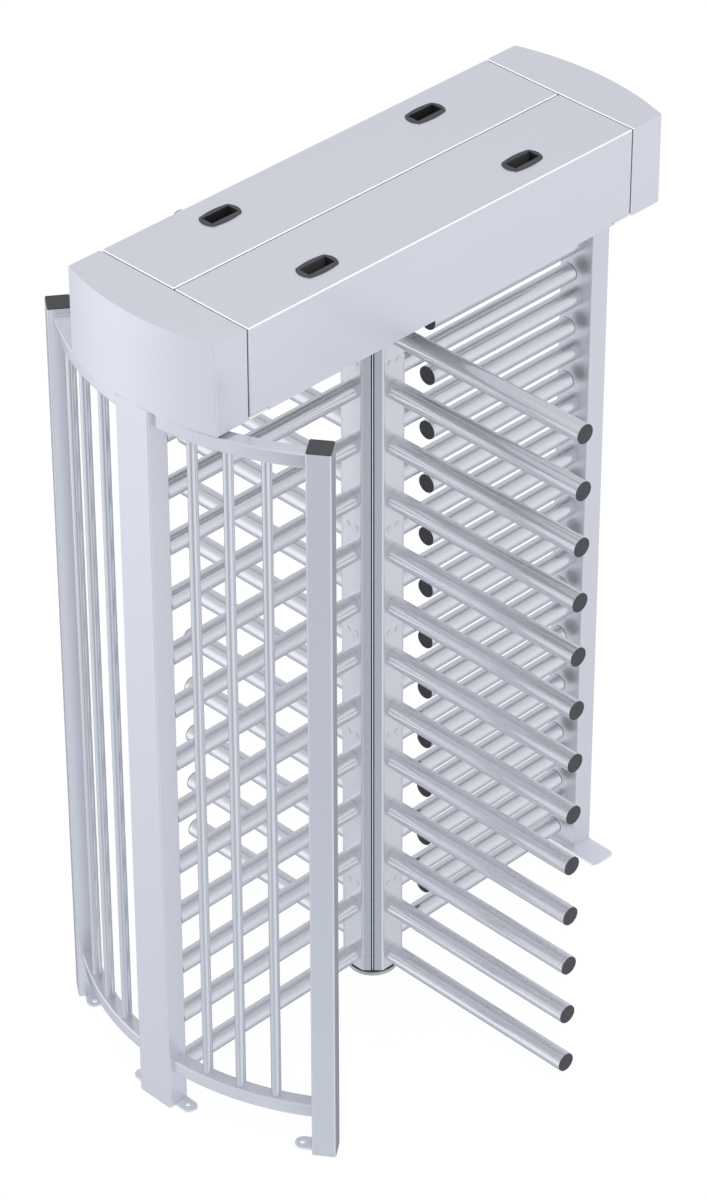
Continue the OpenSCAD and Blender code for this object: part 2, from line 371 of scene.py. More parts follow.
def satin_grain():
    """Fine grinding marks and slow tone changes of satin steel, from a stretched pattern."""
    if "satin_grain" in bpy.data.node_groups:
        return bpy.data.node_groups["satin_grain"]
    g = bpy.data.node_groups.new("satin_grain", "ShaderNodeTree")
    group_sockets(
        g,
        [("Vector", "NodeSocketVector", None), ("Color", "NodeSocketColor", (0.7, 0.7, 0.7, 1)),
         ("Roughness", "NodeSocketFloat", 0.3), ("Grain", "NodeSocketFloat", 0.04),
         ("Tone", "NodeSocketFloat", 0.03)],
        [("Color", "NodeSocketColor"), ("Roughness", "NodeSocketFloat")])
    n, link = g.nodes, g.links.new
    start, end = n.new("NodeGroupInput"), n.new("NodeGroupOutput")
    fine, slow = n.new("ShaderNodeTexNoise"), n.new("ShaderNodeTexNoise")
    fine.inputs["Scale"].default_value, fine.inputs["Detail"].default_value = 1.0, 3.0
    slow.inputs["Scale"].default_value, slow.inputs["Detail"].default_value = 0.01, 2.0
    link(start.outputs["Vector"], fine.inputs["Vector"])
    link(start.outputs["Vector"], slow.inputs["Vector"])
    centred = maths(g, "SUBTRACT", fine.outputs["Fac"], 0.5)
    rough = maths(g, "MULTIPLY_ADD", centred, start.outputs["Grain"], start.outputs["Roughness"])
    drift = maths(g, "SUBTRACT", slow.outputs["Fac"], 0.5)
    both = maths(g, "MULTIPLY_ADD", centred, 0.6, drift)
    gain = maths(g, "MULTIPLY_ADD", both, start.outputs["Tone"], 1.0)
    shade = n.new("ShaderNodeVectorMath")
    shade.operation = "SCALE"
    link(start.outputs["Color"], shade.inputs[0])
    link(gain, shade.inputs["Scale"])
    link(shade.outputs["Vector"], end.inputs["Color"])
    link(rough, end.inputs["Roughness"])
    return g


def new_material(name):
    m = bpy.data.materials.new(name)
    m.use_nodes = True
    m.node_tree.nodes.clear()
    out = m.node_tree.nodes.new("ShaderNodeOutputMaterial")
    bsdf = m.node_tree.nodes.new("ShaderNodeBsdfPrincipled")
    m.node_tree.links.new(bsdf.outputs[0], out.inputs["Surface"])
    return m, bsdf


def metal(name, color, roughness, stretch, grain=0.02, tone=0.015, mirror=0.75):
    """Satin steel; mirror is how much of it is metallic."""
    if name in bpy.data.materials:
        return bpy.data.materials[name]
    m, bsdf = new_material(name)
    n, link = m.node_tree.nodes, m.node_tree.links.new
    where, scale = n.new("ShaderNodeTexCoord"), n.new("ShaderNodeMapping")
    scale.inputs["Scale"].default_value = stretch
    link(where.outputs["Object"], scale.inputs["Vector"])
    g = n.new("ShaderNodeGroup")
    g.node_tree = satin_grain()
    link(scale.outputs["Vector"], g.inputs["Vector"])
    g.inputs["Color"].default_value = (*color, 1)
    g.inputs["Roughness"].default_value = roughness
    g.inputs["Grain"].default_value = grain
    g.inputs["Tone"].default_value = tone
    link(g.outputs["Color"], bsdf.inputs["Base Color"])
    link(g.outputs["Roughness"], bsdf.inputs["Roughness"])
    bsdf.inputs["Metallic"].default_value = mirror
    return m


def moulded(name, color, roughness=0.42):
    """Moulded plastic: a fine pebble in the gloss and the surface."""
    if name in bpy.data.materials:
        return bpy.data.materials[name]
    m, bsdf = new_material(name)
    n, link = m.node_tree.nodes, m.node_tree.links.new
    where, noise = n.new("ShaderNodeTexCoord"), n.new("ShaderNodeTexNoise")
    noise.inputs["Scale"].default_value, noise.inputs["Detail"].default_value = 900.0, 2.0
    link(where.outputs["Object"], noise.inputs["Vector"])
    spread = n.new("ShaderNodeMapRange")
    spread.inputs["To Min"].default_value = roughness - 0.06
    spread.inputs["To Max"].default_value = roughness + 0.06
    link(noise.outputs["Fac"], spread.inputs["Value"])
    link(spread.outputs[0], bsdf.inputs["Roughness"])
    tone = n.new("ShaderNodeMix")
    tone.data_type = "RGBA"
    tone.inputs["A"].default_value = (*[c * 0.92 for c in color], 1)
    tone.inputs["B"].default_value = (*[min(1, c * 1.08) for c in color], 1)
    link(noise.outputs["Fac"], tone.inputs["Factor"])
    link(tone.outputs["Result"], bsdf.inputs["Base Color"])
    b = n.new("ShaderNodeBump")
    b.inputs["Strength"].default_value = 0.15
    b.inputs["Distance"].default_value = 0.0001
    link(noise.outputs["Fac"], b.inputs["Height"])
    link(b.outputs["Normal"], bsdf.inputs["Normal"])
    return m


def sheet_steel():
    return metal("satin_sheet", steel().sheet, 0.30, UPRIGHT)


def matt_steel():
    return metal("matt_sheet", steel().sheet, 0.42, UPRIGHT)


def shade_steel():
    """The same sheet at half its colour on the side that faces the passage: painted shade, as that side
    stays in the shade.
    """
    return metal("shaded_sheet", [c * 0.5 for c in steel().sheet], 0.40, UPRIGHT, mirror=0.5)


def cover_steel():
    return metal("satin_cover", steel().sheet, 0.30, ALONG_X)


def bend_highlight_steel():
    """The same sheet where it is bent, near-white and less mirror-like: a painted highlight along the
    bends.
    """
    return metal("bend_painted_highlight", (0.97, 0.975, 0.99), 0.5, ALONG_X, mirror=0.35)


def tube_steel(name, stretch):
    return metal(name, steel().tube, 0.20, stretch, grain=0.012, mirror=0.85)


def band_steel():
    return metal("band_steel", steel().sheet, 0.22, EVEN)


def column_steel():
    return metal("column_profile", steel().column, 0.27, UPRIGHT)


# Painted shade: a darker copy of the column steel for the profiles' slanted faces.
def chamfer_shade_steel():
    return metal("column_chamfer_shade", (0.545, 0.572, 0.612), 0.27, UPRIGHT)


def plate_steel():
    return metal("column_plate", (0.775, 0.780, 0.805), 0.20, UPRIGHT)


def fin_steel():
    return metal("column_fin", (0.86, 0.87, 0.90), 0.35, UPRIGHT, mirror=0.4)


# Darker plain steel for the floor disc and band connectors; on the canopy's pan its darkness is painted
# shade under the canopy.
def foot_steel():
    return metal("plain_foot", steel().foot, 0.42, EVEN, grain=0.08, tone=0.06)


def tab_steel():
    return metal("anchor_tab", steel().tab, 0.42, EVEN, grain=0.08, tone=0.06)


def black_plastic():
    return moulded("black_plastic", steel().plastic)


# Near-black that stands for painted shade in joints, slots and pockets, where little light reaches.
def shade_black():
    return moulded("painted_shade_lining", (0.012, 0.012, 0.014), 0.8)


# ---------------------------------------------------------------- pieces


class TURNSTILE_OT_stage(bpy.types.Operator):
    """Sets up the floor, the studio light and the camera"""

    bl_idname = "turnstile.stage"
    bl_label = "Stage"

    def execute(self, context):
        self.floor()
        self.world()
        self.lamps()
        self.camera()
        return {"FINISHED"}

    def floor(self):
        clear()
        bpy.ops.mesh.primitive_plane_add(size=60, location=(0, 0, 0))
        floor = bpy.context.object
        floor.name = "floor"
        m = bpy.data.materials.new("pale_floor")
        m.use_nodes = True
        n, link = m.node_tree.nodes, m.node_tree.links.new
        n.clear()
        out = n.new("ShaderNodeOutputMaterial")
        path = n.new("ShaderNodeLightPath")
        matt, glow = n.new("ShaderNodeBsdfDiffuse"), n.new("ShaderNodeEmission")
        matt.inputs["Color"].default_value = (0.95, 0.955, 0.97, 1)
        glow.inputs["Color"].default_value = (1, 1, 1, 1)
        glow.inputs["Strength"].default_value = 1.02
        share = maths(m.node_tree, "MULTIPLY", path.outputs["Is Camera Ray"], 0.93)
        mix = n.new("ShaderNodeMixShader")
        link(share, mix.inputs["Fac"])
        link(matt.outputs[0], mix.inputs[1])
        link(glow.outputs[0], mix.inputs[2])
        link(mix.outputs[0], out.inputs["Surface"])
        floor.data.materials.append(m)
        floor.visible_glossy = False

    def world(self):
        """White all round; what steel mirrors is a studio with lighter and darker fields."""
        world = bpy.data.worlds.new("studio")
        bpy.context.scene.world = world
        world.use_nodes = True
        n, link = world.node_tree.nodes, world.node_tree.links.new
        n.clear()
        out, path = n.new("ShaderNodeOutputWorld"), n.new("ShaderNodeLightPath")
        where, split = n.new("ShaderNodeTexCoord"), n.new("ShaderNodeSeparateXYZ")
        link(where.outputs["Generated"], split.inputs[0])
        height, ramp = n.new("ShaderNodeMapRange"), n.new("ShaderNodeValToRGB")
        height.inputs["From Min"].default_value = -1.0
        link(split.outputs["Z"], height.inputs["Value"])
        link(height.outputs[0], ramp.inputs["Fac"])
        while len(ramp.color_ramp.elements) < len(STUDIO_RAMP):
            ramp.color_ramp.elements.new(0.5)
        for e, (z, color) in zip(ramp.color_ramp.elements, STUDIO_RAMP):
            e.position, e.color = (z + 1) / 2, (*color, 1)
        total = ramp.outputs["Color"]
        for axis, inner, outer, gain in STUDIO_CARDS:
            facing, spread = n.new("ShaderNodeVectorMath"), n.new("ShaderNodeMapRange")
            card, add = n.new("ShaderNodeVectorMath"), n.new("ShaderNodeVectorMath")
            facing.operation = "DOT_PRODUCT"
            facing.inputs[1].default_value = Vector(axis).normalized()
            link(where.outputs["Generated"], facing.inputs[0])
            spread.interpolation_type = "SMOOTHSTEP"
            spread.inputs["From Min"].default_value = math.cos(math.radians(outer))
            spread.inputs["From Max"].default_value = math.cos(math.radians(inner))
            link(facing.outputs["Value"], spread.inputs["Value"])
            card.operation, card.inputs[0].default_value = "SCALE", gain
            link(spread.outputs[0], card.inputs["Scale"])
            link(total, add.inputs[0])
            link(card.outputs["Vector"], add.inputs[1])
            total = add.outputs["Vector"]
        soft, plain = n.new("ShaderNodeBackground"), n.new("ShaderNodeBackground")
        link(total, soft.inputs["Color"])
        plain.inputs["Color"].default_value = (1, 1, 1, 1)
        mix = n.new("ShaderNodeMixShader")
        link(path.outputs["Is Glossy Ray"], mix.inputs["Fac"])
        link(plain.outputs[0], mix.inputs[1])
        link(soft.outputs[0], mix.inputs[2])
        link(mix.outputs[0], out.inputs["Surface"])

    def lamps(self):
        clear()
        bpy.ops.object.light_add(type="AREA", location=(-1.2, -1.6, 5.0))
        lamp = bpy.context.object
        lamp.name = "overhead_softbox"
        lamp.data.shape = "SQUARE"
        lamp.data.size = 3.5
        lamp.data.energy = 60
        lamp.rotation_euler = (Vector((0, 0, 1.0)) - lamp.location).to_track_quat("-Z", "Y").to_euler()
        lamp.visible_glossy = False

    def camera(self):
        clear()
        right = Vector((1, -1, 0)).normalized()
        back = Vector((-1, -1, 1)).normalized()
        up = back.cross(right)
        spot = Vector((0, 0, 1.150)) + right * 0.00261 - up * 0.01227 + back * 11.5913
        bpy.ops.object.camera_add(location=spot)
        cam = bpy.context.object
        cam.name = "camera"
        cam.rotation_euler = Matrix((right, up, back)).transposed().to_euler()
        cam.data.sensor_width = 36
        cam.data.lens = 142.21
        cam.data.shift_x = -0.01684
        cam.data.shift_y = 0.00063
        cam.data.clip_end = 200
        bpy.context.scene.camera = cam
        bpy.context.scene.view_settings.view_transform = "Standard"


def square_post(name, lo, hi, radius):
    obj = block(name, lo, hi)
    return bevel(obj, radius, 5, lambda e: runs_along(e, 2))


class TURNSTILE_OT_posts(bpy.types.Operator):
    """Builds the square posts, their black caps and the comb's foot plate"""

    bl_idname = "turnstile.posts"
    bl_label = "Posts"

    def execute(self, context):
        r = shape().post_round
        for node, steel_finish in (("main_post", sheet_steel()), ("comb_post", matt_steel())):
            lo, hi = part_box(node)
            obj = square_post(node + "_skin", lo, hi, r)
            finish_piece(obj, HOUSING, steel_finish, "satin_steel", node)
        lo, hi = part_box("main_post")
        depth, outer = hi.x - lo.x, -lo.x
        top, lid_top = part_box("end_post_front")[1].z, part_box("post_cap_front")[1].z
        inset = 0.0008
        for side, turn in (("front", 180 + CAGE_ANGLE), ("rear", 180 - CAGE_ANGLE)):
            obj = square_post("end_post_skin_" + side, (outer - depth, -depth / 2, 0),
                              (outer, depth / 2, top), r)
            # Painted shade: the front end post's side towards the passage takes the darker sheet.
            coated(obj, sheet_steel(), (lambda f: side == "front" and f.normal.y > 0.8, shade_steel()))
            turned(obj, turn)
            finish_piece(obj, HOUSING, None, "satin_steel", "end_post_" + side)
            cap = square_post("post_lid_" + side, (outer - depth + inset, -depth / 2 + inset, top),
                              (outer - inset, depth / 2 - inset, lid_top), r)
            bevel(cap, 0.0012, 3, lambda e: above(e, top + 0.002) and sharp(e))
            turned(cap, turn)
            finish_piece(cap, HOUSING, black_plastic(), "black_plastic", "post_cap_" + side)
        # The plate that is seen is a little smaller than its solid.
        lo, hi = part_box("comb_foot")
        plate = block("foot_plate", (lo.x + 0.006, lo.y + 0.008, lo.z),
                      (hi.x - 0.008, hi.y - 0.008, hi.z))
        bevel(plate, 0.015, 8, lambda e: runs_along(e, 2))
        bevel(plate, 0.0008, 2, lambda e: above(e, 0.005) and sharp(e))
        finish_piece(plate, HOUSING, tab_steel(), "plain_steel", "comb_foot")
        return {"FINISHED"}


class TURNSTILE_OT_bands(bpy.types.Operator):
    """Builds the curved square tubes at the top and bottom of the cage, with their connectors"""

    bl_idname = "turnstile.bands"
    bl_label = "Bands"

    def execute(self, context):
        outer, size = 0.753, 0.038
        post_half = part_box("main_post")[1].y
        for level in ("top", "bottom"):
            z0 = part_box(level + "_band_front")[0].z
            for side, way in (("front", 1), ("rear", -1)):
                obj = self.band("%s_band_tube_%s" % (level, side), outer, size, z0, way)
                finish_piece(obj, HOUSING, band_steel(), "satin_steel", "%s_band_%s" % (level, side))
        pegs = []
        for level in ("top", "bottom"):
            z0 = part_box(level + "_band_front")[0].z
            for way in (-1, 1):
                y = (way * post_half, way * (post_half + 0.02))
                pegs.append(block("peg", (-0.746, min(y), z0 + 0.005), (-0.722, max(y), z0 + 0.033)))
        obj = joined("band_connectors", pegs)
        finish_piece(obj, HOUSING, foot_steel(), "plain_steel", "band_spigots")
        return {"FINISHED"}

    def band(self, name, outer, size, z0, way):
        """A square tube spun round the rotor's axis from the wide post to an end post."""
        obj = block(name, (-outer, -0.0005, z0), (-outer + size, 0.0005, z0 + size))
        bevel(obj, shape().band_round, 4, lambda e: runs_along(e, 1))
        opened(obj, lambda f: f.normal.y < 0.9)
        choose(obj, verts=lambda v: True)
        bpy.ops.mesh.spin(steps=72, angle=math.radians(CAGE_ANGLE), center=(0, 0, 0), axis=(0, 0, way))
        done()
        tidy_normals(obj)
        return obj


class TURNSTILE_OT_bars(bpy.types.Operator):
    """Builds the round upright bars of the cage"""

    bl_idname = "turnstile.bars"
    bl_label = "Cage bars"

    def execute(self, context):
        lo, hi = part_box("cage_bars_front")[0].z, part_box("cage_bars_front")[1].z
        middle, post_half, end_half = 0.734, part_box("main_post")[1].y, 0.030
        first = math.degrees(math.asin(post_half / middle))
        last = CAGE_ANGLE - math.degrees(math.asin(end_half / middle))
        for side, way in (("front", 1), ("rear", -1)):
            bars = []
            for i in (1, 2, 3):
                bar = rod("bar", (middle, 0, lo), (middle, 0, hi), 0.0125, shape().tube_sides)
                bars.append(turned(bar, 180 + way * (first + (last - first) * i / 4)))
            obj = joined("bars_" + side, bars)
            finish_piece(obj, HOUSING, tube_steel("bar_steel", RINGS_Z), "brushed_tube",
                         "cage_bars_" + side)
        return {"FINISHED"}


class TURNSTILE_OT_tabs(bpy.types.Operator):
    """Builds the anchor tabs at the feet of the cage's posts"""

    bl_idname = "turnstile.tabs"
    bl_label = "Foot tabs"

    def execute(self, context):
        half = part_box("main_post")[1].y
        made = []
        for way in (-1, 1):
            tab = self.tab("tab", 0.040, 0.051, 0.026)
            tab.rotation_euler = (0, 0, 0 if way > 0 else math.pi)
            tab.location = (-0.729, way * half, 0)
            made.append(settle(tab))
        finish_piece(joined("post_tabs", made), HOUSING, tab_steel(), "plain_steel", "main_post_tabs")
        for side, way in (("front", 1), ("rear", -1)):
            tab = self.tab("end_tab_" + side, 0.042, 0.048, 0.030)
            tab.rotation_euler = (0, 0, math.pi if way > 0 else 0)
            tab.location = (0.728, -way * 0.030, 0)
            settle(tab)
            turned(tab, 180 + way * CAGE_ANGLE)
            finish_piece(tab, HOUSING, tab_steel(), "plain_steel", "end_post_tab_" + side)
        return {"FINISHED"}

    hole_radius, thickness = 0.0065, 0.006

    def tab(self, name, width, reach, hole_y):
        """A flat tab along +Y with a rounded end and one drilled hole."""
        obj = block(name, (-width / 2, 0, 0), (width / 2, reach, self.thickness))
        bevel(obj, width / 2 - 0.0002, 12, lambda e: runs_along(e, 2) and e.verts[0].co.y > reach / 2)
        combined(obj, rod("drill", (0, hole_y, -0.01), (0, hole_y, 0.02), self.hole_radius, 32))
        return bevel(obj, 0.0006, 2, lambda e: above(e, 0.005) and sharp(e))


def tipped_tube(name, start, length, radius, disc):
    """One tube along +X from start, with its black end disc as a second object."""
    sides = shape().tube_sides
    tube = rod(name, (start, 0, 0), (start + length, 0, 0), radius, sides)
    bevel(tube, 0.0008, 2, sharp)
    end = start + length
    cap = rod(name + "_cap", (end, 0, 0), (end + disc, 0, 0), radius - 0.0002, sides)
    bevel(cap, shape().rim, 3, lambda e: sharp(e) and e.verts[0].co.x > end + disc / 2)
    return tube, cap


def drawn_in(obj, short):
    """Shortens an arm that lies along X by moving its outer end inward."""
    outer = max(v.co.x for v in obj.data.vertices) / 2
    for v in obj.data.vertices:
        if v.co.x > outer:
            v.co.x -= short
    return obj


class TURNSTILE_OT_arms(bpy.types.Operator):
    """Builds the rotor's four wings of horizontal arms with their black end discs"""

    bl_idname = "turnstile.arms"
    bl_label = "Arms"

    def execute(self, context):
        lo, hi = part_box("arms_comb")
        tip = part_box("arm_caps_comb")[1].x
        radius = (hi.y - lo.y) / 2
        tube, cap = tipped_tube("arm", lo.x, hi.x - lo.x, radius, tip - hi.x)
        for obj in (tube, cap):
            stacked(obj, lo.z, hi.z, radius)
        along_x, along_y = ("arm_steel_x", RINGS_X), ("arm_steel_y", RINGS_Y)
        for side, turn, grain in (("comb", 0, along_x), ("rear", 90, along_y),
                                  ("cage", 180, along_x), ("front", 270, along_y)):
            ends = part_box("arm_caps_" + side)
            short = tip - max(abs(v) for v in (*ends[0][:2], *ends[1][:2]))
            wing = turned(drawn_in(copied(tube, "wing_" + side), short), turn)
            finish_piece(wing, ROTOR, tube_steel(*grain), "brushed_tube", "arms_" + side)
            tips = turned(drawn_in(copied(cap, "wing_tips_" + side), short), turn)
            finish_piece(tips, ROTOR, black_plastic(), "black_plastic", "arm_caps_" + side)
        for obj in (tube, cap):
            bpy.data.objects.remove(obj)
        return {"FINISHED"}


class TURNSTILE_OT_comb(bpy.types.Operator):
    """Builds the fixed comb's tubes with their black end discs"""

    bl_idname = "turnstile.comb"
    bl_label = "Comb"

    def execute(self, context):
        lo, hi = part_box("comb_tubes")
        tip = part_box("comb_caps")[0].x
        radius = (hi.y - lo.y) / 2
        tube, cap = tipped_tube("comb", -hi.x, hi.x - lo.x, radius, lo.x - tip)
        for obj, node, material, slot in (
                (tube, "comb_tubes", tube_steel("arm_steel_x", RINGS_X), "brushed_tube"),
                (cap, "comb_caps", black_plastic(), "black_plastic")):
            turned(obj, 180)
            stacked(obj, lo.z, hi.z, radius)
            finish_piece(obj, HOUSING, material, slot, node)
        return {"FINISHED"}


class TURNSTILE_OT_canopy(bpy.types.Operator):
    """Builds the canopy's two bent covers, its rounded ends and the near-black strips of painted shade
    under the joints
    """

    bl_idname = "turnstile.canopy"
    bl_label = "Canopy"

    def execute(self, context):
        self.covers()
        self.ends()
        self.shade_strips()
        return {"FINISHED"}

    def covers(self):
        """One bent tray with a long outer skirt, turned half round for the other side."""
        lo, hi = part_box("cover_rear")
        lo = lo + Vector((0.0005, 0.0005, 0))
        hi = hi - Vector((0.0005, 0, 0))
        obj = block("cover", lo, hi)
        sliced(obj, (0, 0, hi.z - FOLD), (0, 0, 1))
        sliced(obj, (0, hi.y - FOLD, 0), (0, 1, 0))

        def open_side(f):
            c = f.calc_center_median()
            low = c.z < hi.z - FOLD
            return f.normal.z < -0.9 or (f.normal.y < -0.9 and low) or (
                abs(f.normal.x) > 0.9 and low and c.y < hi.y - FOLD)

        opened(obj, open_side)
        bevel(obj, shape().bend, 5, sharp)
        # Painted highlight: the bend faces take the near-white bend steel.
        coated(obj, cover_steel(), (lambda f: 0.3 < abs(f.normal.z) < 0.9, bend_highlight_steel()))
        thickened(obj)
        hole_l, hole_w, notch_h = 0.0455, 0.0225, 0.0085
        cutters = []
        for way in (-1, 1):
            x, h, across = way * (hi.x - 0.029), way * shape().handle_x, shape().handle_y
            cutters.append(block("cut", (x - 0.029, hi.y - 0.01, lo.z - 0.01),
                                 (x + 0.032, hi.y + 0.01, lo.z + notch_h)))
            cutters.append(block("cut", (h - hole_l, across - hole_w, hi.z - 0.02),
                                 (h + hole_l, across + hole_w, hi.z + 0.02)))
        combined(obj, joined("cutter", cutters))
        twin = turned(copied(obj, "cover_skin_front"), 180)
        obj.name = "cover_skin_rear"
        finish_piece(obj, HOUSING, None, "satin_steel", "cover_rear")
        finish_piece(twin, HOUSING, None, "satin_steel", "cover_front")

    def joint(self):
        """Where the end caps begin: one joint's width beyond the covers."""
        lo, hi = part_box("cover_rear")
        return hi.x + 2 * lo.y

    def ends(self):
        lo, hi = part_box("end_cap_comb")
        x_in = self.joint()
        clear()
        bpy.ops.mesh.primitive_cylinder_add(vertices=720, radius=hi.x, depth=hi.z - lo.z,
                                            location=(0, 0, (lo.z + hi.z) / 2))
        obj = settle(bpy.context.object)
        obj.name = "end_skin_comb"
        for spot, normal in (((0, hi.y, 0), (0, 1, 0)), ((0, lo.y, 0), (0, -1, 0)),
                             ((x_in, 0, 0), (-1, 0, 0))):
            sliced(obj, spot, normal, use_fill=True, clear_outer=True)
        for spot, normal in (((0, 0, hi.z - FOLD), (0, 0, 1)), ((0, hi.y - FOLD, 0), (0, 1, 0)),
                             ((0, FOLD - hi.y, 0), (0, 1, 0))):
            sliced(obj, spot, normal, faces=lambda f: f.normal.x < -0.9)

        def open_side(f):
            c = f.calc_center_median()
            return f.normal.z < -0.9 or (
                f.normal.x < -0.9 and c.z < hi.z - FOLD and abs(c.y) < hi.y - FOLD)

        def inner_edge(e):
            return sharp(e) and max(v.co.x for v in e.verts) < x_in + 0.0001

        def top_edge(e):
            return sharp(e) and above(e, hi.z - 0.001) and max(v.co.x for v in e.verts) > x_in + 0.005

        def round_corner(e):
            return (len(e.link_faces) == 2 and runs_along(e, 2)
                    and e.calc_face_angle(0) > 0.2 and e.verts[0].co.x > x_in + 0.006)

        # The bend faces next to the joint, which carry the painted highlight.
        def bent(f):
            return f.center.x < x_in + 0.006 and 0.3 < abs(f.normal.z) < 0.9

        opened(obj, open_side)
        bevel(obj, shape().bend, 5, inner_edge)
        # Painted highlight on the bend faces; painted shade: the inner flange faces towards the joint
        # take near-black.
        coated(obj, sheet_steel(), (bent, bend_highlight_steel()), (lambda f: f.normal.x < -0.95, shade_black()))
        bevel(obj, shape().fold, 2, top_edge)
        bevel(obj, 0.002, 3, round_corner)
        thickened(obj)
        lips = []
        for s in (-1, 1):
            y = sorted((s * 0.237, s * 0.240))
            lips.append(block("lip", (0.570, y[0], lo.z), (x_in, y[1], lo.z + 0.007)))
        obj = joined("end_skin_comb", [obj] + lips)
        twin = turned(copied(obj, "end_skin_cage"), 180)
        finish_piece(obj, HOUSING, None, "satin_steel", "end_cap_comb")
        finish_piece(twin, HOUSING, None, "satin_steel", "end_cap_cage")

    def shade_strips(self):
        """Near-black strips just under the joints, so that no light comes through them; their black is
        painted shade in the joints.
        """
        lo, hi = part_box("cover_front")[0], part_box("cover_rear")[1]
        top = hi.z - 0.005
        strips = [block("strip", (lo.x, -0.0050, top - 0.008), (hi.x, 0.0050, top))]
        for way in (-1, 1):
            x = sorted((way * (hi.x - 0.004), way * (self.joint() + 0.004)))
            strips.append(block("strip", (x[0], lo.y + 0.005, top - 0.008), (x[1], hi.y - 0.005, top)))
            for s in (-1, 1):
                y = sorted((s * (hi.y - 0.005), s * (hi.y - 0.012)))
                strips.append(block("strip", (x[0], y[0], lo.z + 0.004), (x[1], y[1], top)))
                notch_x = sorted((way * 0.560, way * 0.640))
                notch_y = sorted((s * (hi.y - 0.0035), s * (hi.y - 0.012)))
                strips.append(block("strip", (notch_x[0], notch_y[0], lo.z + 0.0035),
                                    (notch_x[1], notch_y[1], lo.z + 0.014)))
        finish_piece(joined("joint_shade_strips", strips), HOUSING, shade_black(), "black_plastic")


class TURNSTILE_OT_handles(bpy.types.Operator):
    """Builds the four recessed lifting handles in the covers"""

    bl_idname = "turnstile.handles"
    bl_label = "Lifting handles"

    def execute(self, context):
        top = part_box("cover_front")[1].z
        for side, turn in (("front", 180), ("rear", 0)):
            made = []
            for end in (-1, 1):
                spot = (end * shape().handle_x, shape().handle_y, 0)
                made.append(turned(moved(self.cup("cup", top), spot), turn))
            obj = joined("handle_cups_" + side, made)
            finish_piece(obj, HOUSING, None, "black_plastic", "handles_" + side)
        return {"FINISHED"}

    def cup(self, name, top):
        """A bulging flange round a deep finger pocket; the pocket's far sides are near-black, painted
        shade in the pocket.
        """
        lo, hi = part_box("handles_rear")
        half_l, half_w = (hi.x - lo.x) / 2 - shape().handle_x, (hi.y - lo.y) / 2
        rim = hi.z - top
        corner_l, corner_w = half_l - 0.0095, half_w - 0.0055
        clear()
        bpy.ops.mesh.primitive_cylinder_add(
            vertices=96, radius=1, depth=rim, location=(0, 0, top + rim / 2))
        obj = settle(bpy.context.object)
        obj.name = name
        for v in obj.data.vertices:
            x, y = v.co.x, v.co.y
            turn = math.atan2(abs(y), abs(x)) / (math.pi / 4)
            if turn <= 1:
                spot = (half_l - (half_l - corner_l) * turn ** 2, corner_w * turn)
            else:
                spot = (corner_l * (2 - turn), half_w - (half_w - corner_w) * (2 - turn) ** 2)
            v.co.x, v.co.y = math.copysign(spot[0], x), math.copysign(spot[1], y)
        bevel(obj, 0.005, 4, lambda e: runs_along(e, 2) and sharp(e, math.radians(20)))
        bevel(obj, 0.0016, 3, lambda e: sharp(e) and above(e, top + rim / 2))
        body = block("body", (-0.0445, -0.0215, top - 0.040), (0.0445, 0.0215, top + 0.0005))
        combined(obj, body, "UNION")
        combined(obj, block("pocket", (-0.041, -0.0165, top - 0.037), (0.041, 0.0165, top + 0.02)))

        def pocket_in_shade(f):
            inside = abs(f.center.x) < 0.0415 and abs(f.center.y) < 0.017 and f.center.z < top - 0.001
            return inside and f.normal.y < 0.9

        # Painted shade: the pocket's far walls take near-black.
        return coated(obj, black_plastic(), (pocket_in_shade, shade_black()))


